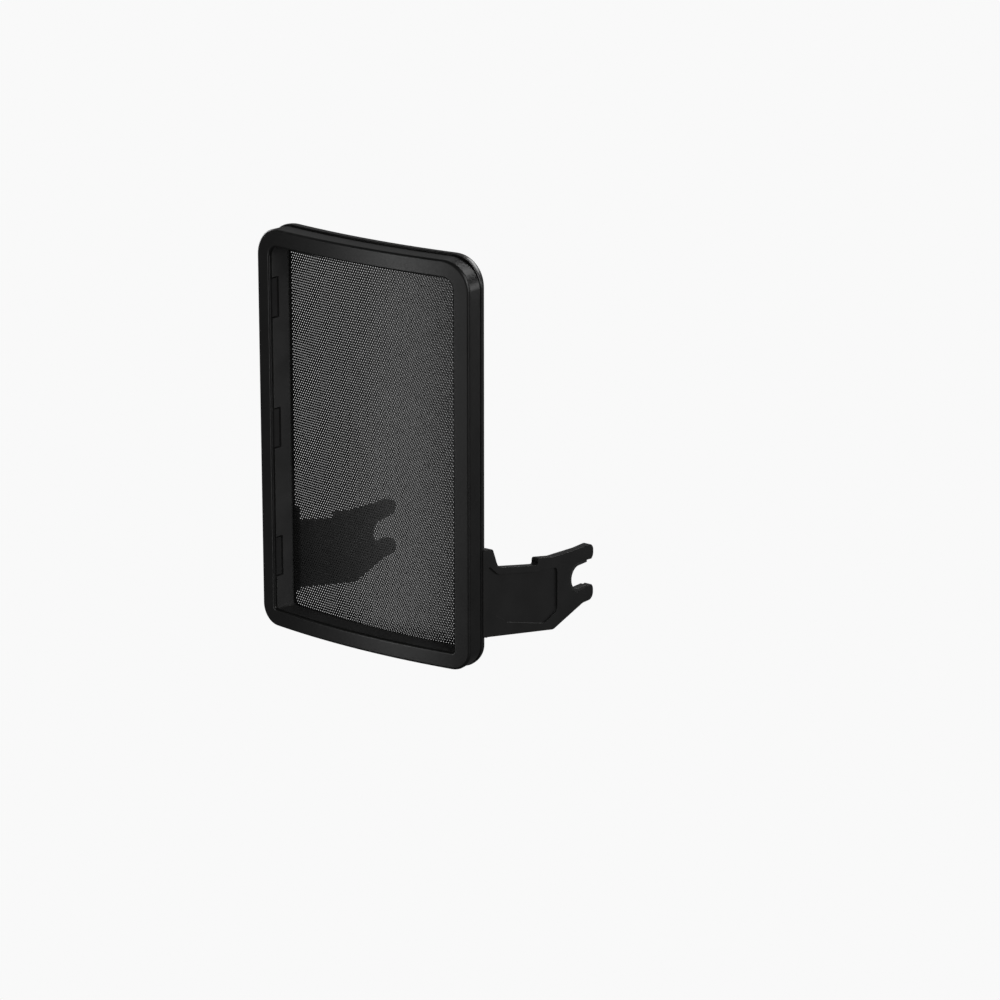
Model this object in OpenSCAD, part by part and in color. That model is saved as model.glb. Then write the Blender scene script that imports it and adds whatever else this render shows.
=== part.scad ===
// Curved pop filter for a rectangular-bodied microphone.
// A bowed frame holds two layers of steel mesh. Two arms reach back along the microphone's
// sides and end in open slots that hook onto the two thumb screws of the microphone's mount.
// The origin is on the thumb screws' common axis, midway between the arms.
// +X is to the right seen from the front, +Y is back towards the mount, +Z is up.

/* [Frame outline] */
// Width of the frame across the front
frame_w = 71; // [66:0.5:76]
// Height of the front bezel
frame_h = 112.2; // [106:0.2:120]
// Extra height of the rear frame at the top and at the bottom
rear_flare = 0.5; // [0.2:0.1:1]
// Radius of the frame's upper outer corners
top_corner_r = 8; // [6.5:0.1:10]
// Radius of the frame's lower outer corners
bottom_corner_r = 5.8; // [5.8:0.1:10]
// Radius that the frame and the mesh are bowed to
bow_r = 200; // [160:5:300]
// Width of the bezel's front face
face_w = 4.8; // [4.6:0.1:5]

/* [Depths behind the bowed front face] */
// Thickness of the bezel's front face
face_t = 1; // [0.8:0.1:1.1]
// Where the bezel's outer skirt ends
skirt_end = 5.1; // [4.6:0.1:5.4]
// Width of the parting groove between the bezel and the rear frame
groove_w = 0.4; // [0.2:0.1:0.6]
// Gap between the bezel's face and the mesh retainer behind it
face_gap = 0.15; // [0.1:0.05:0.2]
// Where the mesh retainer ends
retainer_end = 7.2; // [7:0.1:7.3]
// Thickness of the soft gasket in front of the mesh
gasket_t = 0.4; // [0.3:0.1:0.5]
// Thickness of each mesh sheet
mesh_t = 0.2; // [0.2:0.1:0.5]
// Gap between the two mesh sheets
mesh_gap = 0.8; // [0.5:0.1:0.9]
// Overall depth of the frame
frame_d = 10; // [9.8:0.1:12]

/* [Walls] */
// Thickness of the outer walls
outer_wall = 1.4; // [1.2:0.1:1.5]
// Thickness of the mesh retainer's wall
inner_wall = 1.1; // [1:0.1:1.2]
// Width of the rear ledge that holds the mesh
ledge_w = 5; // [4.9:0.1:5.6]

/* [Snap fit] */
// Height of each notch that a snap hook stands in
window_h = 11.4; // [9:0.2:13]
// Free height at each end of a snap hook
hook_play = 0.4; // [0.2:0.1:0.8]
// Distance from one snap hook up to the next
hook_pitch = 36.5; // [34:0.5:38]

/* [Arms] */
// Distance from the front face back to the thumb screw axis
arm_reach = 53; // [50:0.5:60]
// Height of the frame's centre above the thumb screw axis
frame_rise = 42.5; // [38:0.5:46]
// Thickness of each arm
arm_t = 2.2; // [2:0.1:2.6]
// Radius of the thumb screw that the slot liner grips
screw_r = 3.25; // [2.5:0.05:3.5]
// Thickness of the slot liner
liner_t = 1; // [0.8:0.1:1.2]
// Thickness of the soft pad
pad_t = 0.8; // [0.6:0.1:1]

/* [Hidden] */
$fn = 96;
bow_fn = 720;
overlap = 0.1;
cut_past = 0.5;
slide_fit = 0.1;
snap_play = 0.05;
arm_x = frame_w / 2;
mesh_inset = 3.6;
mesh_front = retainer_end + gasket_t;
spacer_front = mesh_front + mesh_t;
rear_mesh_front = spacer_front + mesh_gap;
ledge_front = rear_mesh_front + mesh_t;
rear_start = skirt_end + groove_w;
spacer_w = 1.1;
tongue_t = 0.7;
tongue_end = 6.5;
retainer_front = face_t + face_gap;
retainer_flange_inset = outer_wall + tongue_t + slide_fit;
retainer_flange_t = 0.9;
hook_z = [-hook_pitch, 0, hook_pitch];
hook_h = window_h - 2 * hook_play;
hook_end = 3;
hook_t = 0.7;
barb_inset = 2.5;
barb_t = 0.8;
catch_inset = 3.1;
catch_t = 0.8;
window_end = 3.6;
prism_front = -2;
prism_back = 24;
lap_x = arm_x - 1.6;
lap_y = 9.3;
foot_x = arm_x - 3.1;
foot_lip = 2;
flange_x = arm_x - 4.4;
flange_back = 14.4;
foot_z = [-48, -28];
flange_z = [-49, -25];
lap_z = [-48.1, -23.4];
foot_front = 10.3;
slot_z = -frame_rise;
prong_w = 3.8;
slot_r = screw_r + liner_t;
head_top = slot_z + slot_r + prong_w;
head_bottom = slot_z - slot_r - prong_w;
prong_end = arm_reach + 5;
liner_setback = 1;
pad_pocket = 0.5;
pad_y = [19, 45];
pad_z = [-49, -37];
recess_t = 0.5;

// Side outline of an arm, as [distance behind the front face, height above the frame's centre].
arm_outline = [
    [lap_y, lap_z[1]],
    [13.6, -24.2],
    [16, -30],
    [34, -34.1],
    [34, -32.1],
    [41, -33.6],
    [arm_reach, head_top],
    [prong_end, head_top],
    [prong_end, head_bottom],
    [arm_reach + 2, head_bottom],
    [41.3, -54.4],
    [14, -50.8],
    [lap_y, lap_z[0]]
];

// Outline of the shallow recess in an arm's outer face, in the same terms.
recess_outline = [
    [11.2, -28],
    [16, -31.9],
    [33, -35.8],
    [43, -37],
    [43, -49.5],
    [37, -51.5],
    [20, -46.5],
    [11.2, -40.5]
];

// Half of a rectangle with two true round corners, from the origin up.
module rounded_half(w, h, r) {
    translate([-w / 2, 0])
        square([w, h - r]);
    translate([r - w / 2, 0])
        square([w - 2 * r, h]);
    for (x = [r - w / 2, w / 2 - r])
        translate([x, h - r])
            circle(r);
}

// Rectangle with its own corner radius at the top and at the bottom, centred on the origin.
module rounded_rect(w, h, top_r, bottom_r) {
    rounded_half(w, h / 2, top_r);
    mirror([0, 1])
        rounded_half(w, h / 2, bottom_r);
}

// Straight prism of the frame's outline, drawn in by inset on every side.
module frame_prism(inset, flare = 0) {
    translate([0, prism_back, 0])
        rotate([90, 0, 0])
            linear_extrude(prism_back - prism_front)
                rounded_rect(
                    frame_w - 2 * inset,
                    frame_h + 2 * flare - 2 * inset,
                    top_corner_r - inset,
                    bottom_corner_r - inset
                );
}

// Everything that lies deeper than the given depth behind the bowed front.
module behind(depth) {
    translate([0, bow_r, 0])
        cylinder(r = bow_r - depth, h = 2 * frame_h, center = true, $fn = bow_fn);
}

// Bowed sheet of the frame's outline between two depths.
module bowed_slab(inset, front, back, flare = 0) {
    difference() {
        intersection() {
            frame_prism(inset, flare);
            behind(front);
        }
        behind(back);
    }
}

// Bowed ring between two insets and two depths.
module bowed_ring(outer_inset, inner_inset, front, back, flare = 0) {
    difference() {
        bowed_slab(outer_inset, front, back, flare);
        frame_prism(inner_inset);
    }
}

// Upright block with its inner and outer sides, its front and back and its lower and upper ends.
module side_block(x_range, y_range, z_range) {
    translate([x_range[0], y_range[0], z_range[0]])
        cube([x_range[1] - x_range[0], y_range[1] - y_range[0], z_range[1] - z_range[0]]);
}

// Moves a piece from the frame's centre to its place above and in front of the screw axis.
module place() {
    translate([0, -arm_reach, frame_rise])
        children();
}

// The right-hand shape as drawn, or mirrored to the left.
module on_side(side) {
    mirror([side < 0 ? 1 : 0, 0, 0])
        children();
}

// Bands of the frame's sides between two insets and two depths, one at each snap position.
module snap_bands(inner_inset, outer_inset, front, back, height) {
    for (side = [-1, 1], z = hook_z)
        on_side(side)
            intersection() {
                side_block(
                    [arm_x - inner_inset, arm_x - outer_inset],
                    [prism_front, prism_back],
                    [z - height / 2, z + height / 2]
                );
                difference() {
                    behind(front);
                    behind(back);
                }
            }
}

module front_bezel() {
    color([0.05, 0.05, 0.05])
        place() {
            bowed_ring(0, face_w, 0, face_t);
            bowed_ring(0, outer_wall - slide_fit, 0, skirt_end);
            snap_bands(mesh_inset + hook_t, mesh_inset, face_t - overlap, hook_end, hook_h);
            snap_bands(mesh_inset + overlap, barb_inset, hook_end - barb_t, hook_end, hook_h);
        }
}

module mesh_retainer() {
    color([0.07, 0.07, 0.07])
        place()
            difference() {
                union() {
                    bowed_ring(face_w - inner_wall, face_w, retainer_front, retainer_end);
                    bowed_ring(
                        retainer_flange_inset,
                        face_w,
                        retainer_end - retainer_flange_t,
                        retainer_end
                    );
                }
                snap_bands(
                    face_w + cut_past,
                    face_w - inner_wall - overlap,
                    retainer_front - overlap,
                    window_end,
                    window_h
                );
            }
}

module front_gasket() {
    color([0.1, 0.1, 0.1])
        place()
            bowed_ring(mesh_inset, face_w, retainer_end, mesh_front);
}

module front_mesh() {
    color([0.2, 0.2, 0.2])
        place()
            bowed_slab(mesh_inset, mesh_front, spacer_front);
}

module mesh_spacer() {
    color([0.12, 0.12, 0.12])
        place()
            bowed_ring(mesh_inset, mesh_inset + spacer_w, spacer_front, rear_mesh_front);
}

module rear_mesh() {
    color([0.2, 0.2, 0.2])
        place()
            bowed_slab(mesh_inset, rear_mesh_front, ledge_front);
}

// Space that one arm's root takes out of the rear frame.
module arm_root_space() {
    side_block([lap_x, arm_x + cut_past], [lap_y, prism_back], lap_z);
    side_block([foot_x, lap_x + overlap], [foot_front, prism_back], foot_z);
}

module rear_frame() {
    color([0.05, 0.05, 0.05])
        place()
            difference() {
                union() {
                    bowed_ring(0, outer_wall, rear_start, frame_d, rear_flare);
                    bowed_ring(
                        outer_wall - overlap,
                        outer_wall + tongue_t,
                        rear_start - overlap,
                        tongue_end
                    );
                    bowed_ring(outer_wall, outer_wall + tongue_t, face_t, tongue_end);
                    bowed_ring(0, ledge_w, ledge_front, frame_d, rear_flare);
                    snap_bands(
                        catch_inset,
                        outer_wall + overlap,
                        hook_end - barb_t - snap_play - catch_t,
                        hook_end - barb_t - snap_play,
                        hook_h
                    );
                }
                for (side = [-1, 1])
                    on_side(side)
                        arm_root_space();
            }
}

// Prism of a side outline, between two distances from the middle.
module outline_prism(outline, x_inner, x_outer) {
    translate([x_inner, 0, 0])
        rotate([90, 0, 90])
            linear_extrude(x_outer - x_inner)
                polygon(outline);
}

// Plate with the arm's side outline and the two round prong ends.
module arm_plate(x_inner, x_outer) {
    outline_prism(arm_outline, x_inner, x_outer);
    for (z = [head_top - prong_w / 2, head_bottom + prong_w / 2])
        translate([x_inner, prong_end, z])
            rotate([0, 90, 0])
                cylinder(d = prong_w, h = x_outer - x_inner);
}

// Round-ended slot that is open at the back, around the screw axis.
module open_slot(r) {
    translate([0, arm_reach, slot_z])
        rotate([0, 90, 0])
            cylinder(r = r, h = 2 * frame_w, center = true);
    side_block([-frame_w, frame_w], [arm_reach, prong_end + prong_w], [slot_z - r, slot_z + r]);
}

// One arm: the plate, a flange and a captured foot at its root, and the pad's pocket.
module arm(side) {
    place()
        on_side(side)
            difference() {
                union() {
                    arm_plate(lap_x, arm_x);
                    intersection() {
                        arm_plate(arm_x - arm_t, lap_x + overlap);
                        behind(frame_d);
                    }
                    intersection() {
                        side_block([flange_x, lap_x + overlap], [foot_front, flange_back], flange_z);
                        behind(frame_d);
                    }
                    intersection() {
                        side_block([foot_x, lap_x + overlap], [foot_front, flange_back], foot_z);
                        behind(ledge_front - overlap);
                    }
                    difference() {
                        side_block(
                            [foot_x, lap_x + overlap],
                            [foot_front, flange_back],
                            [foot_z[0] - foot_lip, foot_z[1] + foot_lip]
                        );
                        behind(ledge_front);
                    }
                }
                open_slot(slot_r);
                side_block([arm_x - arm_t - cut_past, arm_x - arm_t + pad_pocket], pad_y, pad_z);
                outline_prism(recess_outline, arm_x - recess_t, arm_x + cut_past);
            }
}

module left_arm() {
    color([0.08, 0.08, 0.08])
        arm(-1);
}

module right_arm() {
    color([0.08, 0.08, 0.08])
        arm(1);
}

module pad(side) {
    place()
        on_side(side)
            side_block([arm_x - arm_t + pad_pocket - pad_t, arm_x - arm_t + pad_pocket], pad_y, pad_z);
}

module left_pad() {
    color([0.15, 0.15, 0.15])
        pad(-1);
}

module right_pad() {
    color([0.15, 0.15, 0.15])
        pad(1);
}

module slot_liner(side) {
    place()
        on_side(side)
            difference() {
                intersection() {
                    side_block(
                        [arm_x - arm_t, arm_x],
                        [0, prong_end - liner_setback],
                        [slot_z - frame_w, slot_z + frame_w]
                    );
                    open_slot(slot_r);
                }
                open_slot(screw_r);
            }
}

module left_slot_liner() {
    color([0.15, 0.15, 0.15])
        slot_liner(-1);
}

module right_slot_liner() {
    color([0.15, 0.15, 0.15])
        slot_liner(1);
}

front_bezel();
mesh_retainer();
front_gasket();
front_mesh();
mesh_spacer();
rear_mesh();
rear_frame();
left_arm();
right_arm();
left_pad();
right_pad();
left_slot_liner();
right_slot_liner();
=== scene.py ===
"""Looks for the curved pop filter.

A black bowed frame holds two layers of perforated steel, and two arms with open slots reach back.
"""

import math

import bmesh
import bpy
import numpy as np
from mathutils import Matrix, Vector
from mathutils.geometry import delaunay_2d_cdt


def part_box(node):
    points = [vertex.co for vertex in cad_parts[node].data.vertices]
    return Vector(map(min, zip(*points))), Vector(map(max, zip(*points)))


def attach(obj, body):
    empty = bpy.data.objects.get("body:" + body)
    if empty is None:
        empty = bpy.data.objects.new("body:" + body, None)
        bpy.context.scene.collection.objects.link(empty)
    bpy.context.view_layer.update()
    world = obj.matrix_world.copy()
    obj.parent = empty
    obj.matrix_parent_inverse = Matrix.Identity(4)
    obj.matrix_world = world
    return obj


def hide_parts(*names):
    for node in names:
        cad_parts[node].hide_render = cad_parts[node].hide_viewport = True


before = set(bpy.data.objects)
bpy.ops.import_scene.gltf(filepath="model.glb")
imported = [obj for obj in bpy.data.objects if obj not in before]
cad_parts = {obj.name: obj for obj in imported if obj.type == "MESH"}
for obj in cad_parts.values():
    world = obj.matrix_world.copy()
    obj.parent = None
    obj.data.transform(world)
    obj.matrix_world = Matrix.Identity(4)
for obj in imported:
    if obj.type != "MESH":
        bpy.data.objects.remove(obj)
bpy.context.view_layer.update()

# Sizes are in mm. Points become metres where bow() and placed() make them.
MM = 0.001
BEZEL_LOW, BEZEL_HIGH = (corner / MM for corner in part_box("front_bezel"))
ARM_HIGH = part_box("right_arm")[1] / MM
PAD_LOW, PAD_HIGH = (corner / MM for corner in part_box("right_pad"))
LINER_LOW, LINER_HIGH = (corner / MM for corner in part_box("right_slot_liner"))
FRONT_Y = BEZEL_LOW.y
CENTRE_Z = (BEZEL_LOW.z + BEZEL_HIGH.z) / 2

# The frame's front outline, laid flat, and the cylinder that it is bowed to.
BOW_R = 200.0
HALF_W = BOW_R * math.asin(BEZEL_HIGH.x / BOW_R)
HALF_H = (BEZEL_HIGH.z - BEZEL_LOW.z) / 2
TOP_R = 8.0
BOTTOM_R = 5.5

# The side walls run straight back, so beside the bow they lean out by this much for each mm of depth.
SIDE_FLARE = 0.149
# How far the rear frame stands proud of the bezel at the top and the bottom.
REAR_LIP = 0.5

# Depths behind the bowed front face.
FACE_T = 1.0
SKIRT_END = 5.1
REAR_START = 5.5
RETAINER = (1.15, 7.2)
GASKET = (7.21, 7.59)
FRONT_MESH = (7.6, 7.8)
SPACER = (7.81, 8.59)
REAR_MESH = (8.6, 8.8)
LEDGE_FRONT = 8.82
LEDGE_EDGE_T = 0.25
FRAME_D = 10.0

# Insets from the outline. A pair is an outer and an inner side, and a foot is the inner edge of a
# ring or a wall. No hole's centre lies nearer to the outline than HOLE_INSET.
SKIRT_INSET = 1.25
TONGUE = (1.4, 2.1)
FACE_W = 4.8
WALL_FOOT = 4.4
LEDGE_FOOT = 3.5
SPACER_FOOT = 3.3
SHEET_INSET = 2.3
HOLE_INSET = 3.55
# How far a hidden edge stands back from the edge in front of it.
STEP_BACK = 0.02

# The retainer's wall: the inset of its outer side at the front and at the flange, and the inset and
# the depth of the flange's front outer corner.
WALL_OUTER = (3.7, 3.6)
FLANGE_CORNER = (2.3, 6.3)

# The rear frame: where its tongue starts, the small edge at the groove, and its crowned rear edge.
TONGUE_FRONT = 1.2
GROOVE_EDGE = 0.12
CROWN_D = 3.9
CROWN_SIDE = 3.9
CROWN_TOP = 2.0
CROWN_ARC = (180, 98)
CROWN_STEPS = 22
CROWN_FALL = 0.05
LEDGE_BEVEL = 1.1

# Snap hooks along each upright side. The stem and the barb are pairs of insets and pairs of depths.
HOOK_UP = (-36.5, 0.0, 36.5)
HOOK_H = 10.6
HOOK_STEM = ((3.9, 4.55), (0.9, 3.0))
HOOK_BARB = ((2.7, 4.0), (2.2, 3.0))
NOTCH_H = 11.4
NOTCH_END = 3.6
NOTCH_INSETS = (3.4, 5.4)
NOTCH_PAST = 0.3

# Radii of moulded corners, and of edges that are bevelled afterwards.
FACE_OUTER_R = 0.75
FACE_INNER_R = 0.6
CORNER_R = 0.2
FINE_R = 0.1
HOOK_EDGE = 0.08
ARM_EDGE = 0.22
PAD_EDGE = 0.12
LINER_EDGE = 0.2

# Steps round a rounded corner, unless a shape asks for another number.
CORNER_STEPS = 6


# ---------------------------------------------------------------- mesh helpers

def piece_from(name, points, faces):
    """A new object whose mesh has the points, in metres, and the faces, turned outwards."""
    mesh = bpy.data.meshes.new(name)
    mesh.from_pydata([tuple(p) for p in points], [], [tuple(f) for f in faces])
    bm = bmesh.new()
    bm.from_mesh(mesh)
    bmesh.ops.recalc_face_normals(bm, faces=bm.faces)
    bm.to_mesh(mesh)
    bm.free()
    piece = bpy.data.objects.new(name, mesh)
    bpy.context.scene.collection.objects.link(piece)
    return piece


def apply_modifiers(piece):
    """Bakes the piece's modifiers into its mesh."""
    bpy.context.view_layer.update()
    graph = bpy.context.evaluated_depsgraph_get()
    mesh = bpy.data.meshes.new_from_object(piece.evaluated_get(graph))
    piece.modifiers.clear()
    piece.data = mesh


def combine(piece, other, operation):
    """Boolean of two closed pieces. The second one is used up."""
    step = piece.modifiers.new("step", "BOOLEAN")
    step.operation = operation
    step.solver = "EXACT"
    step.object = other
    apply_modifiers(piece)
    bpy.data.objects.remove(other)


def bevel(piece, width, segments=3, angle=40):
    """Rounds every edge that is sharper than the angle."""
    step = piece.modifiers.new("edges", "BEVEL")
    step.width = width * MM
    step.segments = segments
    step.limit_method = "ANGLE"
    step.angle_limit = math.radians(angle)
    apply_modifiers(piece)


def shade(piece, angle=35):
    """Smooth shading that breaks at edges sharper than the angle and keeps flat faces flat."""
    bm = bmesh.new()
    bm.from_mesh(piece.data)
    limit = math.radians(angle)
    for face in bm.faces:
        face.smooth = True
    for edge in bm.edges:
        edge.smooth = len(edge.link_faces) == 2 and edge.calc_face_angle(0) < limit
    bm.to_mesh(piece.data)
    bm.free()
    step = piece.modifiers.new("normals", "WEIGHTED_NORMAL")
    step.keep_sharp = True
    apply_modifiers(piece)


def rounded(corners, segments=CORNER_STEPS):
    """Closed outline through (a, b, radius) corners, each rounded by its own radius."""
    outline = []
    count = len(corners)
    for i, (a, b, r) in enumerate(corners):
        here = Vector((a, b))
        if r <= 0:
            outline.append(here)
            continue
        back = (Vector(corners[i - 1][:2]) - here).normalized()
        ahead = (Vector(corners[(i + 1) % count][:2]) - here).normalized()
        half = back.angle(ahead) / 2
        reach = r / math.tan(half)
        middle = here + (back + ahead).normalized() * (r / math.sin(half))
        start = here + back * reach - middle
        end = here + ahead * reach - middle
        for k in range(segments + 1):
            outline.append(middle + start.lerp(end, k / segments).normalized() * r)
    return [tuple(p) for p in outline]


def rounded_rectangle(low, high, radius):
    """Closed outline of a rectangle between two opposite corners, with every corner rounded."""
    return rounded(
        [
            (low[0], low[1], radius),
            (high[0], low[1], radius),
            (high[0], high[1], radius),
            (low[0], high[1], radius),
        ]
    )


def arc(centre, radius, start, end, segments):
    """Points on an arc, from the start angle to the end angle in degrees."""
    turns = [math.radians(start + (end - start) * k / segments) for k in range(segments + 1)]
    return [(centre[0] + radius[0] * math.cos(t), centre[1] + radius[1] * math.sin(t)) for t in turns]


# ---------------------------------------------------------------- the bowed frame

def bow(across, up, depth):
    """Points in metres from places across and up the outline laid flat and depths behind it."""
    turn = np.asarray(across) / BOW_R
    reach = BOW_R - np.asarray(depth)
    parts = np.broadcast_arrays(
        reach * np.sin(turn),
        FRONT_Y + BOW_R - reach * np.cos(turn),
        CENTRE_Z + np.asarray(up),
    )
    return np.stack(parts, axis=-1) * MM


def placed(x, back, up):
    """Point in metres from the distance right of the middle, behind the front and above the centre."""
    return (x * MM, (FRONT_Y + back) * MM, (CENTRE_Z + up) * MM)


def outline_stations(corner_steps=16, across_steps=40, up_steps=30):
    """Stations round the frame's outline, as (across, up, outward across, outward up)."""
    stations = []
    for quarter in range(4):
        sx = 1 if quarter in (0, 3) else -1
        sz = 1 if quarter in (0, 1) else -1
        radius = TOP_R if sz > 0 else BOTTOM_R
        for k in range(corner_steps + 1):
            turn = math.radians(90 * (quarter + k / corner_steps))
            out = (math.cos(turn), math.sin(turn))
            across = sx * (HALF_W - radius) + radius * out[0]
            stations.append((across, sz * (HALF_H - radius) + radius * out[1], *out))
        if quarter in (0, 2):
            for k in range(1, across_steps):
                across = sz * (HALF_W - radius) * (1 - 2 * k / across_steps)
                stations.append((across, sz * HALF_H, 0, sz))
        else:
            for k in range(1, up_steps):
                drop = (k if sx < 0 else up_steps - k) / up_steps
                up = HALF_H - TOP_R - drop * (2 * HALF_H - TOP_R - BOTTOM_R)
                stations.append((sx * HALF_W, up, sx, 0))
    return stations


def sweep(name, section):
    """Closed ring: a closed (inset, depth) section carried round the outline and bowed.

    The section may be a function of how far the wall there faces up or down, from 0 to 1.
    """
    stations = outline_stations()
    points = []
    for across, up, out_x, out_z in stations:
        here = section(abs(out_z)) if callable(section) else section
        for inset, depth in here:
            points.append(bow(across - out_x * inset, up - out_z * inset, depth))
    n, m = len(stations), len(here)
    faces = [
        (i * m + j, i * m + (j + 1) % m, (i + 1) % n * m + (j + 1) % m, (i + 1) % n * m + j)
        for i in range(n)
        for j in range(m)
    ]
    return piece_from(name, points, faces)


def bezel_wall(depth, level):
    """Inset of the bezel's outer wall at a depth, where the wall faces up or down by a share."""
    return -SIDE_FLARE * depth * (1 - level)


def rear_wall(depth, level):
    """The same for the rear frame, which stands proud of the bezel at the top and the bottom."""
    return bezel_wall(depth, level) - REAR_LIP * level


BLOCK_FACES = [(0, 1, 3, 2), (4, 6, 7, 5), (0, 4, 5, 1), (2, 3, 7, 6), (0, 2, 6, 4), (1, 5, 7, 3)]


def bowed_block(side, insets, depths, ups):
    """Block that follows the bowed frame on one side."""
    points = [
        bow(side * (HALF_W - inset), up, depth) for inset in insets for depth in depths for up in ups
    ]
    return piece_from("block", points, BLOCK_FACES)


def plain_block(side, xs, backs, ups):
    """Straight block on one side."""
    points = [placed(side * x, back, up) for x in xs for back in backs for up in ups]
    return piece_from("block", points, BLOCK_FACES)


def make_bezel():
    """Front face and outer skirt."""

    def section(level):
        return rounded(
            [
                (0, 0, FACE_OUTER_R),
                (bezel_wall(SKIRT_END, level), SKIRT_END, 0.15),
                (SKIRT_INSET, SKIRT_END, FINE_R),
                (SKIRT_INSET, FACE_T, CORNER_R),
                (FACE_W, FACE_T, 0.06),
                (FACE_W, 0, FACE_INNER_R),
            ]
        )

    return sweep("bezel_shell", section)


def make_hooks():
    """The bezel's three snap hooks on each side, each with its barb outwards."""
    hooks = None
    for side in (-1, 1):
        for up in HOOK_UP:
            ups = (up - HOOK_H / 2, up + HOOK_H / 2)
            hook = bowed_block(side, *HOOK_STEM, ups)
            combine(hook, bowed_block(side, *HOOK_BARB, ups), "UNION")
            if hooks is None:
                hooks = hook
            else:
                combine(hooks, hook, "UNION")
    hooks.name = "bezel_snap_hooks"
    bevel(hooks, HOOK_EDGE)
    return hooks


def make_retainer():
    """Inner wall behind the bezel's face, with a notch at each snap hook."""
    front, back = RETAINER
    retainer = sweep(
        "mesh_retainer_ring",
        rounded(
            [
                (WALL_OUTER[0], front, FINE_R),
                (WALL_OUTER[1], FLANGE_CORNER[1], FINE_R),
                (*FLANGE_CORNER, FINE_R),
                (FLANGE_CORNER[0], back, FINE_R),
                (WALL_FOOT, back, FINE_R),
                (FACE_W - STEP_BACK, front, 0.12),
            ]
        ),
    )
    for side in (-1, 1):
        for up in HOOK_UP:
            ups = (up - NOTCH_H / 2, up + NOTCH_H / 2)
            notch = bowed_block(side, NOTCH_INSETS, (front - NOTCH_PAST, NOTCH_END), ups)
            combine(retainer, notch, "DIFFERENCE")
    return retainer


def make_flat_ring(name, depths, foot, radius):
    """Ring from the sheets' edge in to the foot, with the radius on its inner corners."""
    return sweep(
        name,
        rounded(
            [
                (SHEET_INSET, depths[0], FINE_R),
                (SHEET_INSET, depths[1], FINE_R),
                (foot, depths[1], radius),
                (foot, depths[0], radius),
            ]
        ),
    )


def make_rear_frame():
    """Crowned rear half, with the tongue that goes forward inside the bezel's skirt."""

    def section(level):
        crown_start = FRAME_D - CROWN_D
        crown_w = CROWN_SIDE + (CROWN_TOP - CROWN_SIDE) * level
        crown_centre = (rear_wall(crown_start, level) + crown_w, crown_start)
        lip = rear_wall(REAR_START, level)
        outer, inner = TONGUE
        # The first rounded corner only steers the rounding of the next one, and is left out.
        return (
            [(lip + GROOVE_EDGE, REAR_START), (lip, REAR_START + GROOVE_EDGE)]
            + arc(crown_centre, (crown_w, CROWN_D), *CROWN_ARC, CROWN_STEPS)
            + rounded(
                [
                    (lip, LEDGE_FRONT, 0),
                    (LEDGE_FOOT - LEDGE_BEVEL, FRAME_D - CROWN_FALL, 0.3),
                    (LEDGE_FOOT, LEDGE_FRONT + LEDGE_EDGE_T, 0.15),
                    (LEDGE_FOOT, LEDGE_FRONT, 0.05),
                    (inner, LEDGE_FRONT, CORNER_R),
                    (inner, TONGUE_FRONT, CORNER_R),
                    (outer, TONGUE_FRONT, CORNER_R),
                    (outer, REAR_START, FINE_R),
                ]
            )[1:]
        )

    ring = sweep("rear_frame_shell", section)
    for side in (-1, 1):
        for xs, front, ups in ROOT_BLOCKS:
            room = plain_block(
                side,
                (xs[0] - ROOT_GAP, xs[1] + ROOT_GAP),
                (front - ROOT_GAP, ARM_REACH),
                (ups[0] - ROOT_GAP, ups[1] + ROOT_GAP),
            )
            combine(ring, room, "DIFFERENCE")
    return ring


# ---------------------------------------------------------------- perforated steel

PITCH = 0.82
ROW = PITCH * math.sqrt(3) / 2
WEB = 0.29
HOLE_R = (PITCH - WEB) / math.sqrt(3)
# Faces whose middle lies above this height belong to a sheet's upper half.
SHEET_CUT = 0.45
# Points nearer than this, in mm, count as one where the sheet's border is filled in.
MERGE = 1e-6

# Offset of the rear sheet's holes from the front sheet's. It is not measured: the values were
# searched for and kept because they make the two layers look evenly grey from the front.
REAR_SHIFT = (-0.2, 0.05)
REAR_STRETCH = (1.0154, 1.0016)


def inset_of(points):
    """How far each (across, up) point lies inside the frame's outline."""
    radius = np.where(points[:, 1] > 0, TOP_R, BOTTOM_R)
    x = np.abs(points[:, 0]) - (HALF_W - radius)
    z = np.abs(points[:, 1]) - (HALF_H - radius)
    beyond = np.hypot(np.maximum(x, 0), np.maximum(z, 0))
    return radius - beyond - np.minimum(np.maximum(x, z), 0)


def loop_inside(points, loop):
    """True for each point inside the closed loop, by counting crossings."""
    inside = np.zeros(len(points), bool)
    for (x0, z0), (x1, z1) in zip(loop, np.roll(loop, -1, axis=0)):
        if z0 == z1:
            continue
        hit = (z0 > points[:, 1]) != (z1 > points[:, 1])
        cross = x0 + (points[:, 1] - z0) * (x1 - x0) / (z1 - z0)
        inside ^= hit & (points[:, 0] < cross)
    return inside


def sheet_outline():
    """Outline of a mesh sheet as evenly spaced (across, up) points."""
    w = HALF_W - SHEET_INSET
    h = HALF_H - SHEET_INSET
    top = TOP_R - SHEET_INSET
    bottom = BOTTOM_R - SHEET_INSET
    corners = [(w, h, top), (-w, h, top), (-w, -h, bottom), (w, -h, bottom)]
    loop = rounded(corners, segments=8)
    dense = []
    for a, b in zip(loop, loop[1:] + loop[:1]):
        steps = max(1, round(math.dist(a, b) / PITCH))
        dense += [tuple(Vector(a).lerp(Vector(b), k / steps)) for k in range(steps)]
    return np.array(dense)


def chain(edges):
    """The one closed loop that directed edges make, as point numbers in order."""
    follow = dict(edges)
    start = edges[0][0]
    loop = [start]
    while follow[loop[-1]] != start:
        loop.append(follow[loop[-1]])
    return loop


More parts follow.
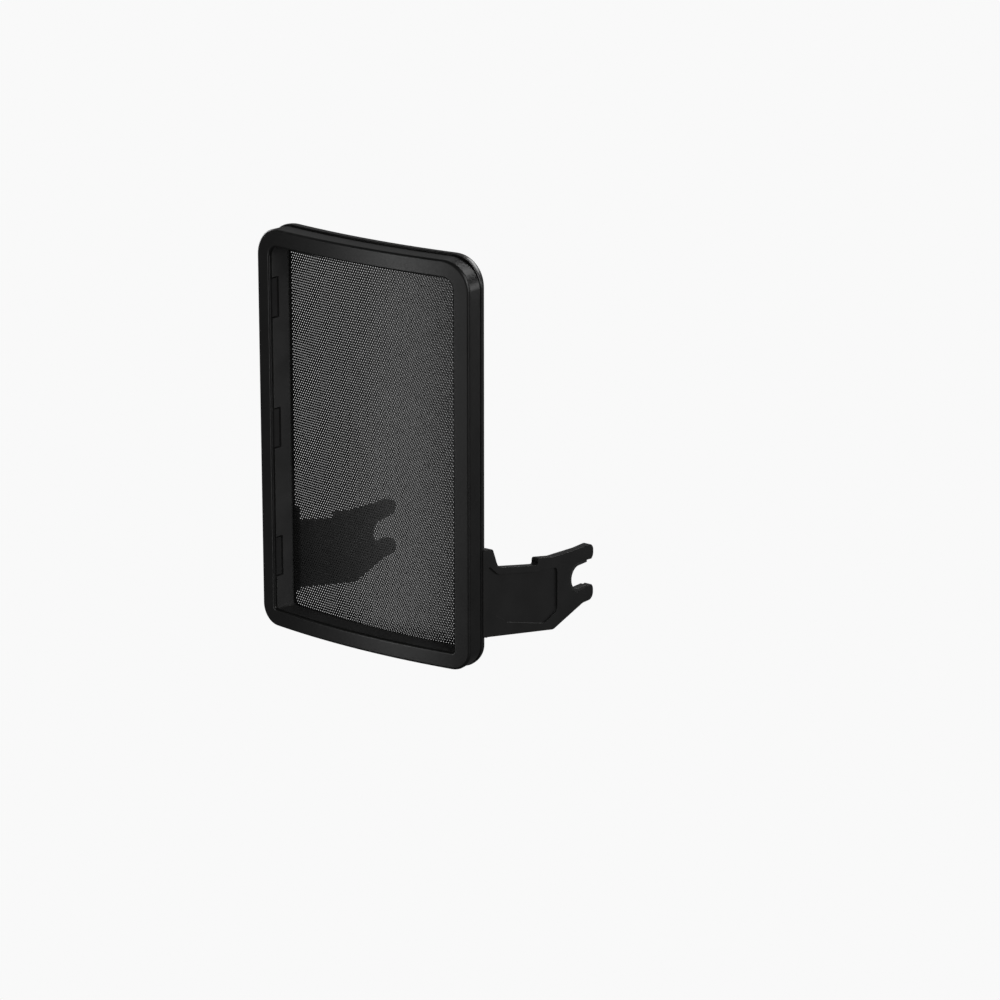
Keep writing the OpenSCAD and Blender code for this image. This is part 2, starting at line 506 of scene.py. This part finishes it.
def lone_edges(faces):
    """Directed edges of the faces that no neighbour shares."""
    edges = np.concatenate([np.stack([f, np.roll(f, -1, axis=1)], -1).reshape(-1, 2) for f in faces])
    span = edges.max() + 1
    key = edges[:, 0] * span + edges[:, 1]
    twin = edges[:, 1] * span + edges[:, 0]
    return edges[~np.isin(key, twin)]


def flat_mesh(shift=(0, 0), stretch=(1, 1)):
    """A flat perforated sheet: (across, up) points, triangles and quads, all counter-clockwise.

    The pattern of holes may be shifted and stretched. The sheet's outline stays where it is.
    """
    rows = int(HALF_H / ROW) + 2
    columns = int(HALF_W / PITCH) + 2
    i, j = np.meshgrid(np.arange(-columns, columns + 1), np.arange(-rows, rows + 1), indexing="ij")
    centre = np.stack([PITCH * (i + 0.5 * (j % 2)), ROW * j], -1) * stretch + shift
    hole = (inset_of(centre.reshape(-1, 2)) >= HOLE_INSET).reshape(i.shape)

    def neighbour(grid, step):
        """The grid's values one cell further in a direction of the lattice, 0 to 5 from +across."""
        odd = j % 2
        di = {0: 1, 1: odd, 2: odd - 1, 3: -1, 4: odd - 1, 5: odd}[step]
        dj = (0, 1, 1, 0, -1, -1)[step]
        ni = np.clip(i + di + columns, 0, 2 * columns)
        nj = np.clip(j + dj + rows, 0, 2 * rows)
        return grid[ni, nj]

    beside = np.any([neighbour(hole, step) for step in range(6)], axis=0)
    blank = beside & ~hole
    used = hole | blank
    index = np.full(i.shape, -1)
    index[used] = np.arange(used.sum())

    turns = np.radians(30 + 60 * np.arange(6))
    rim = HOLE_R * np.stack([np.cos(turns), np.sin(turns)], -1)
    points = (centre[used][:, None, :] + rim[None]).reshape(-1, 2)

    # Corner k of a cell is at 30 + 60 k degrees, so its side towards neighbour k lies
    # between corners k - 1 and k.
    quads = []
    triangles = []
    for step in range(3):
        other = neighbour(index, step)
        both = (index >= 0) & (other >= 0)
        a, b = index[both] * 6, other[both] * 6
        web = [a + (step - 1) % 6, b + (step + 3) % 6, b + (step + 2) % 6, a + step]
        quads.append(np.stack(web, -1))
    for step in range(2):
        first, second = neighbour(index, step), neighbour(index, step + 1)
        three = (index >= 0) & (first >= 0) & (second >= 0)
        a, b, c = index[three] * 6, first[three] * 6, second[three] * 6
        triangles.append(np.stack([a + step, b + (step + 2) % 6, c + (step + 4) % 6], -1))
    filled = index[blank] * 6
    for k in range(1, 5):
        triangles.append(np.stack([filled, filled + k, filled + k + 1], -1))

    triangles = np.concatenate(triangles)
    quads = np.concatenate(quads)
    edges = lone_edges([triangles, quads])
    cell = edges[:, 0] // 6
    around_hole = hole[used][cell] & (cell == edges[:, 1] // 6)
    loop = np.array(chain([tuple(e) for e in edges[~around_hole]]))
    border = sheet_outline()
    ring_points = np.concatenate([points[loop], border])
    n, m = len(loop), len(border)
    ring_edges = [(k, (k + 1) % n) for k in range(n)]
    ring_edges += [(n + k, n + (k + 1) % m) for k in range(m)]
    filling = delaunay_2d_cdt([Vector(p) for p in ring_points], ring_edges, [], 0, MERGE)
    flat = np.array([tuple(p) for p in filling[0]])
    ring = np.array(filling[2])
    middle = flat[ring].mean(axis=1)
    ring = ring[loop_inside(middle, border) & ~loop_inside(middle, points[loop])]
    number = np.concatenate([loop, len(points) + np.arange(m)])
    triangles = np.concatenate([triangles, number[ring]])
    return np.concatenate([points, border]), triangles, quads


def perforated(name, flat, depths, upper):
    """The upper or lower half of a perforated sheet between two depths, as a closed solid."""
    points, triangles, quads = flat
    front = []
    for faces in (triangles, quads):
        middle = points[faces][:, :, 1].mean(axis=1)
        front.append(faces[(middle > SHEET_CUT) == upper])
    used = np.unique(np.concatenate([f.ravel() for f in front]))
    number = np.full(len(points), -1)
    number[used] = np.arange(len(used))
    front = [number[f] for f in front]
    flat_points = points[used]
    count = len(used)
    edges = lone_edges(front)
    walls = np.stack([edges[:, 1], edges[:, 0], edges[:, 0] + count, edges[:, 1] + count], -1)
    triangles = np.concatenate([front[0], front[0][:, ::-1] + count])
    quads = np.concatenate([front[1], front[1][:, ::-1] + count, walls])
    place = np.concatenate([bow(flat_points[:, 0], flat_points[:, 1], depth) for depth in depths])

    mesh = bpy.data.meshes.new(name)
    mesh.vertices.add(len(place))
    mesh.vertices.foreach_set("co", place.ravel())
    corners = np.concatenate([triangles.ravel(), quads.ravel()])
    mesh.loops.add(len(corners))
    mesh.loops.foreach_set("vertex_index", corners)
    starts = np.concatenate(
        [3 * np.arange(len(triangles)), 3 * len(triangles) + 4 * np.arange(len(quads))]
    )
    mesh.polygons.add(len(starts))
    mesh.polygons.foreach_set("loop_start", starts)
    mesh.update(calc_edges=True)
    mesh.shade_flat()
    piece = bpy.data.objects.new(name, mesh)
    bpy.context.scene.collection.objects.link(piece)
    return piece


# ---------------------------------------------------------------- arms, liners and pads

# Distances from the middle are X, distances behind the front are FRONT or BACKS, and heights above
# the frame's centre are Z or UPS.
ARM_REACH = -FRONT_Y
ARM_X = ARM_HIGH.x
ARM_T = 2.2
INNER_X = ARM_X - ARM_T
RECESS_T = 0.5
RECESS_X = ARM_X - RECESS_T
SLOT_Z = -CENTRE_Z
SLOT_R = (LINER_HIGH.z - LINER_LOW.z) / 2
SLOT_STEPS = 28
LINER_T = 1
SCREW_R = SLOT_R - LINER_T
PRONG_W = 3.8
PRONG_R = PRONG_W / 2 - 0.01
PRONG_TIP = ARM_HIGH.y - FRONT_Y
HEAD = (SLOT_Z - SLOT_R - PRONG_W, SLOT_Z + SLOT_R + PRONG_W)
# How far a cut goes past the surface that it cuts.
PAST = 1

# The arm's root: an outer layer let into the frame's side, a flange let into its rear, and a foot
# that reaches further forward beside the mesh. The arm's inner layer starts at INNER_FRONT.
LAP_X = ARM_X - 1.6
LAP_FRONT = 9.3
LAP_UPS = (-48.1, -23.4)
FLANGE_X = ARM_X - 4.4
FLANGE_BACKS = (12.2, 14.4)
FLANGE_UPS = (-49, -25)
FLANGE_OVERLAP = 0.4
FOOT_X = ARM_X - 3.1
FOOT_BACKS = (10.3, 12.4)
FOOT_UPS = (-48, -28)
FOOT_OVERLAP = 0.2
INNER_FRONT = 11.6
INNER_UPS = (-60, -20)
ROOT_GAP = 0.03

# What an arm's root takes out of the rear frame: the outer layer, the flange and the foot, each as
# its sides, its front and its lower and upper end.
ROOT_BLOCKS = (
    ((LAP_X, ARM_X + PAST), LAP_FRONT, LAP_UPS),
    ((FLANGE_X, ARM_X + PAST), FLANGE_BACKS[0], FLANGE_UPS),
    ((FOOT_X, ARM_X), FOOT_BACKS[0], FOOT_UPS),
)

# Side outlines, as (distance behind the front, height, corner radius). The two corners at the slot's
# middle and the last one only steer the rounding of their neighbours, and are left out, so the
# arm's lower edge runs straight on to the root.
ARM_OUTLINE = (
    rounded(
        [
            (ARM_REACH, SLOT_Z, 0),
            (LAP_FRONT, LAP_UPS[0], 0.6),
            (LAP_FRONT, LAP_UPS[1], 0.6),
            (13.6, -24.2, 1.2),
            (16, -30, 3),
            (34, -34.1, 0.6),
            (34, -32.1, 0.6),
            (41, -33.6, 4),
            (ARM_REACH, HEAD[1], 4),
            (PRONG_TIP, HEAD[1], PRONG_R),
            (PRONG_TIP, HEAD[1] - PRONG_W, PRONG_R),
        ]
    )[1:]
    + arc((ARM_REACH, SLOT_Z), (SLOT_R, SLOT_R), 90, 270, SLOT_STEPS)
    + rounded(
        [
            (ARM_REACH, SLOT_Z, 0),
            (PRONG_TIP, HEAD[0] + PRONG_W, PRONG_R),
            (PRONG_TIP, HEAD[0], PRONG_R),
            (ARM_REACH + 2, HEAD[0], 4),
            (41.3, -54.4, 3),
            (14, -50.8, 6),
        ]
    )[1 : -CORNER_STEPS - 1]
)
RECESS_OUTLINE = rounded(
    [
        (11.2, -28, 0.8),
        (16, -31.9, 2),
        (33, -35.8, 2),
        (43, -37, 1.5),
        (43, -49.5, 1.5),
        (37, -51.5, 3),
        (20, -46.5, 4),
        (11.2, -40.5, 1.5),
    ]
)


def plate(name, side, outline, xs):
    """Flat plate with a side outline of (back, up) points, between two distances from the middle."""
    n = len(outline)
    points = [placed(side * x, back, up) for x in xs for back, up in outline]
    faces = [tuple(range(n)), tuple(range(n, 2 * n))]
    faces += [(k, (k + 1) % n, n + (k + 1) % n, n + k) for k in range(n)]
    return piece_from(name, points, faces)


def make_arm(side, name):
    """Arm with a recessed outer face, a pocket for the pad, and the root that goes into the frame."""
    arm = plate(name, side, ARM_OUTLINE, (INNER_X, ARM_X))
    cut = plain_block(side, (INNER_X - PAST, LAP_X), (0, INNER_FRONT), INNER_UPS)
    combine(arm, cut, "DIFFERENCE")
    flange = plain_block(side, (FLANGE_X, LAP_X + FLANGE_OVERLAP), FLANGE_BACKS, FLANGE_UPS)
    combine(arm, flange, "UNION")
    foot = plain_block(side, (FOOT_X, LAP_X + FOOT_OVERLAP), FOOT_BACKS, FOOT_UPS)
    combine(arm, foot, "UNION")
    combine(arm, plate("recess", side, RECESS_OUTLINE, (RECESS_X, ARM_X + PAST)), "DIFFERENCE")
    pocket = rounded_rectangle(
        (PAD_LOW.y - FRONT_Y - POCKET_GAP, PAD_LOW.z - CENTRE_Z - POCKET_GAP),
        (PAD_HIGH.y - FRONT_Y + POCKET_GAP, PAD_HIGH.z - CENTRE_Z + POCKET_GAP),
        POCKET_R,
    )
    combine(arm, plate("pocket", side, pocket, (INNER_X - PAST, PAD_HIGH.x)), "DIFFERENCE")
    bevel(arm, ARM_EDGE)
    return arm


# The pads, their pockets in the arms and their upright ridges. RIDGE_HALF is half a ridge's width as
# a share of the ridges' pitch. A ridge stands RIDGE_H out of the pad and is RIDGE_T thick in all, so
# its base is sunk in the pad.
POCKET_GAP = 0.1
POCKET_R = 1.6
PAD_R = 1.5
RIDGES = 15
RIDGE_HALF = 0.32
RIDGE_H = 0.35
RIDGE_T = 0.5
RIDGE_R = 0.5
RIDGE_SIDE_MARGIN = 1
RIDGE_END_MARGIN = 0.9


def make_pad(side, name):
    """Soft pad with upright grip ridges on the face that meets the microphone."""
    low = (PAD_LOW.y - FRONT_Y, PAD_LOW.z - CENTRE_Z)
    high = (PAD_HIGH.y - FRONT_Y, PAD_HIGH.z - CENTRE_Z)
    pad = plate(name, side, rounded_rectangle(low, high, PAD_R), (PAD_LOW.x + RIDGE_H, PAD_HIGH.x))
    pitch = (high[0] - low[0] - 2 * RIDGE_SIDE_MARGIN) / RIDGES
    for k in range(RIDGES):
        middle = low[0] + RIDGE_SIDE_MARGIN + pitch * (k + 0.5)
        ridge = rounded_rectangle(
            (middle - RIDGE_HALF * pitch, low[1] + RIDGE_END_MARGIN),
            (middle + RIDGE_HALF * pitch, high[1] - RIDGE_END_MARGIN),
            RIDGE_R,
        )
        combine(pad, plate("ridge", side, ridge, (PAD_LOW.x, PAD_LOW.x + RIDGE_T)), "UNION")
    bevel(pad, PAD_EDGE)
    return pad


def make_liner(side, name):
    """Soft U-shaped liner of the open slot."""
    tip = LINER_HIGH.y - FRONT_Y
    middle = (ARM_REACH, SLOT_Z)
    outline = [(tip, SLOT_Z + SLOT_R)]
    outline += arc(middle, (SLOT_R, SLOT_R), 90, 270, SLOT_STEPS)
    outline += [(tip, SLOT_Z - SLOT_R), (tip, SLOT_Z - SCREW_R)]
    outline += arc(middle, (SCREW_R, SCREW_R), 270, 90, SLOT_STEPS)
    outline += [(tip, SLOT_Z + SCREW_R)]
    liner = plate(name, side, outline, (LINER_LOW.x, LINER_HIGH.x))
    bevel(liner, LINER_EDGE)
    return liner


# ---------------------------------------------------------------- materials

PATCH_SIZE = 9
PATCH_DETAIL = 4
GRAIN_DETAIL = 2
# Where in the noise the darkest and the lightest grey, and the smoothest and the roughest gloss, lie.
PATCH_RANGE = (0.35, 0.7)
GRAIN_RANGE = (0.3, 0.7)


def grained(name, greys, roughness, grain, bump):
    """Coated or moulded surface: mottled grey, uneven gloss and a fine raised grain.

    grain is the size of the grain in mm and bump its height in mm.
    """
    material = bpy.data.materials.new(name)
    material.use_nodes = True
    nodes, links = material.node_tree.nodes, material.node_tree.links
    shader = nodes["Principled BSDF"]
    place = nodes.new("ShaderNodeTexCoord").outputs["Object"]

    def noise(size, detail):
        node = nodes.new("ShaderNodeTexNoise")
        node.inputs["Scale"].default_value = 1 / (size * MM)
        node.inputs["Detail"].default_value = detail
        links.new(place, node.inputs["Vector"])
        return node.outputs["Fac"]

    patches = noise(PATCH_SIZE, PATCH_DETAIL)
    specks = noise(grain, GRAIN_DETAIL)
    colour = nodes.new("ShaderNodeValToRGB")
    for stop, position, grey in zip(colour.color_ramp.elements, PATCH_RANGE, greys):
        stop.position = position
        stop.color = (grey, grey, grey, 1)
    links.new(patches, colour.inputs["Fac"])
    links.new(colour.outputs["Color"], shader.inputs["Base Color"])
    gloss = nodes.new("ShaderNodeMapRange")
    gloss.inputs["From Min"].default_value = GRAIN_RANGE[0]
    gloss.inputs["From Max"].default_value = GRAIN_RANGE[1]
    gloss.inputs["To Min"].default_value = roughness[0]
    gloss.inputs["To Max"].default_value = roughness[1]
    links.new(specks, gloss.inputs["Value"])
    links.new(gloss.outputs["Result"], shader.inputs["Roughness"])
    raised = nodes.new("ShaderNodeBump")
    raised.inputs["Strength"].default_value = 1.0
    raised.inputs["Distance"].default_value = bump * MM
    links.new(specks, raised.inputs["Height"])
    links.new(raised.outputs["Normal"], shader.inputs["Normal"])
    return material


# Each surface's darkest and lightest grey, its least and greatest roughness, and its grain and bump.
SURFACES = {
    # The retainer is black plastic like the frame. Its lighter grey is painted light on the inner
    # wall, and its higher roughness is a matte finish.
    "retainer_plastic_painted_light": ((0.040, 0.055), (0.42, 0.52), 0.35, 0.008),
    # The hooks are the bezel's own black plastic. Their lighter grey is a painted highlight for the
    # light that their faces catch.
    "hook_plastic_painted_highlight": ((0.024, 0.034), (0.38, 0.46), 0.35, 0.006),
    "frame_plastic": ((0.005, 0.009), (0.30, 0.38), 0.35, 0.006),
    "arm_plastic": ((0.008, 0.013), (0.34, 0.44), 0.3, 0.01),
    "mesh_steel": ((0.017, 0.026), (0.32, 0.42), 0.25, 0.004),
    "spacer_plastic": ((0.012, 0.018), (0.45, 0.55), 0.4, 0.008),
    "gasket_rubber": ((0.012, 0.018), (0.7, 0.85), 0.2, 0.02),
    "soft_rubber": ((0.014, 0.022), (0.6, 0.75), 0.2, 0.012),
}
MATERIALS = {name: grained(name, *surface) for name, surface in SURFACES.items()}


def finish_piece(piece, slot, *nodes, material=None):
    """Gives a piece its material and its body, and hides the CAD nodes that it stands for."""
    piece.data.materials.clear()
    piece.data.materials.append(MATERIALS[material or slot])
    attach(piece, "root")
    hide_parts(*nodes)


# ---------------------------------------------------------------- the object

for maker, node, material in (
    (make_bezel, "front_bezel", "frame_plastic"),
    # The hooks get a lighter grey than the bezel plastic, as a painted highlight.
    (make_hooks, "front_bezel", "hook_plastic_painted_highlight"),
    # The retainer's lighter grey is painted light on the inner wall.
    (make_retainer, "mesh_retainer", "retainer_plastic_painted_light"),
    (make_rear_frame, "rear_frame", "frame_plastic"),
):
    part = maker()
    shade(part)
    finish_piece(part, "frame_plastic", node, material=material)

for ring_name, depths, foot, radius, slot, node in (
    ("gasket_ring", GASKET, WALL_FOOT - STEP_BACK, 0.15, "gasket_rubber", "front_gasket"),
    ("spacer_ring", SPACER, SPACER_FOOT, CORNER_R, "spacer_plastic", "mesh_spacer"),
):
    part = make_flat_ring(ring_name, depths, foot, radius)
    shade(part)
    finish_piece(part, slot, node)

for node, flat, depths in (
    ("front_mesh", flat_mesh(), FRONT_MESH),
    ("rear_mesh", flat_mesh(REAR_SHIFT, REAR_STRETCH), REAR_MESH),
):
    for half in ("upper", "lower"):
        sheet = perforated(f"{node}_{half}", flat, depths, half == "upper")
        finish_piece(sheet, "mesh_steel", node)

for side, hand in ((-1, "left"), (1, "right")):
    for maker, node, piece_name, slot in (
        (make_arm, "arm", "side_arm", "arm_plastic"),
        (make_pad, "pad", "grip_pad", "soft_rubber"),
        (make_liner, "slot_liner", "hook_liner", "soft_rubber"),
    ):
        part = maker(side, f"{hand}_{piece_name}")
        shade(part)
        finish_piece(part, slot, f"{hand}_{node}")


# ---------------------------------------------------------------- studio

def softbox(name, azimuth, elevation, distance, width, height, power):
    """Area light that faces the frame from a direction. Azimuth 0 is the front and 90 the right."""
    turn, rise = math.radians(azimuth), math.radians(elevation)
    out = Vector((math.sin(turn) * math.cos(rise), -math.cos(turn) * math.cos(rise), math.sin(rise)))
    target = Vector((0, 0, CENTRE_Z * MM))
    light = bpy.data.lights.new(name, "AREA")
    light.shape = "RECTANGLE"
    light.size = width
    light.size_y = height
    light.energy = power
    lamp = bpy.data.objects.new(name, light)
    lamp.location = target + out * distance
    lamp.rotation_euler = out.to_track_quat("Z", "Y").to_euler()
    lamp.visible_camera = False
    bpy.context.scene.collection.objects.link(lamp)


# The camera sees a pale grey all round. Everything else sees a dim white.
PALE = 0.947
AMBIENT = 0.075


def make_world():
    """Pale backdrop for the camera and weak even light for everything else."""
    world = bpy.data.worlds.new("studio")
    bpy.context.scene.world = world
    world.use_nodes = True
    nodes, links = world.node_tree.nodes, world.node_tree.links
    seen = nodes["Background"]
    seen.inputs["Color"].default_value = (PALE, PALE, PALE, 1)
    unseen = nodes.new("ShaderNodeBackground")
    unseen.inputs["Color"].default_value = (1, 1, 1, 1)
    unseen.inputs["Strength"].default_value = AMBIENT
    rays = nodes.new("ShaderNodeLightPath")
    mix = nodes.new("ShaderNodeMixShader")
    links.new(rays.outputs["Is Camera Ray"], mix.inputs["Fac"])
    links.new(unseen.outputs[0], mix.inputs[1])
    links.new(seen.outputs[0], mix.inputs[2])
    links.new(mix.outputs[0], nodes["World Output"].inputs["Surface"])


# In metres: the floor's height and half its width.
FLOOR_Z = -0.25
FLOOR_HALF = 6.0


def make_floor():
    """Floor as pale as the backdrop, which neither lights the object nor shows in it."""
    mesh = bpy.data.meshes.new("floor")
    mesh.from_pydata(
        [(x, y, FLOOR_Z) for x, y in ((-1, -1), (1, -1), (1, 1), (-1, 1))], [], [(0, 1, 2, 3)]
    )
    mesh.transform(Matrix.Diagonal((FLOOR_HALF, FLOOR_HALF, 1, 1)))
    paint = bpy.data.materials.new("pale_floor")
    paint.use_nodes = True
    nodes, links = paint.node_tree.nodes, paint.node_tree.links
    glow = nodes.new("ShaderNodeEmission")
    glow.inputs["Color"].default_value = (PALE, PALE, PALE, 1)
    links.new(glow.outputs[0], nodes["Material Output"].inputs["Surface"])
    mesh.materials.append(paint)
    floor = bpy.data.objects.new("floor", mesh)
    bpy.context.scene.collection.objects.link(floor)
    floor.visible_glossy = False
    floor.visible_diffuse = False
    floor.visible_shadow = False
    return floor


# The lens and the sensor are in mm, the camera's place in metres, and its aim is a direction.
LENS = 152.3
SENSOR = 36
CAMERA_PLACE = (0.6717, -0.8973, 0.3667)
CAMERA_AIM = (-0.56704, 0.76743, -0.29901)


def make_camera():
    """Camera in front of the object, to its right and above it."""
    data = bpy.data.cameras.new("camera")
    data.lens = LENS
    data.sensor_width = SENSOR
    data.clip_end = 100
    camera = bpy.data.objects.new("camera", data)
    camera.location = CAMERA_PLACE
    camera.rotation_euler = Vector(CAMERA_AIM).to_track_quat("-Z", "Y").to_euler()
    bpy.context.scene.collection.objects.link(camera)
    bpy.context.scene.camera = camera


make_world()
floor = make_floor()

# Name, azimuth, elevation, distance, width, height and power, in degrees, metres and watts.
softbox("key", -27, 0, 1.2, 0.2, 0.9, 2.2)
softbox("back_right", 143, 0, 1.2, 0.3, 0.25, 0.7)
softbox("top_back", -140, 35, 1.2, 0.6, 0.6, 0.3)
softbox("fill", 68, 24, 1.2, 0.6, 0.6, 3.0)
softbox("low_fill", 62, 4, 1.2, 0.5, 0.4, 2.0)
softbox("side_right", 103, 28, 1.4, 0.6, 0.6, 2.4)
softbox("side_left", -103, 8, 1.4, 0.5, 0.8, 6)
softbox("back", 180, 20, 1.4, 0.8, 0.4, 5)

make_camera()
bpy.context.scene.view_settings.view_transform = "Standard"
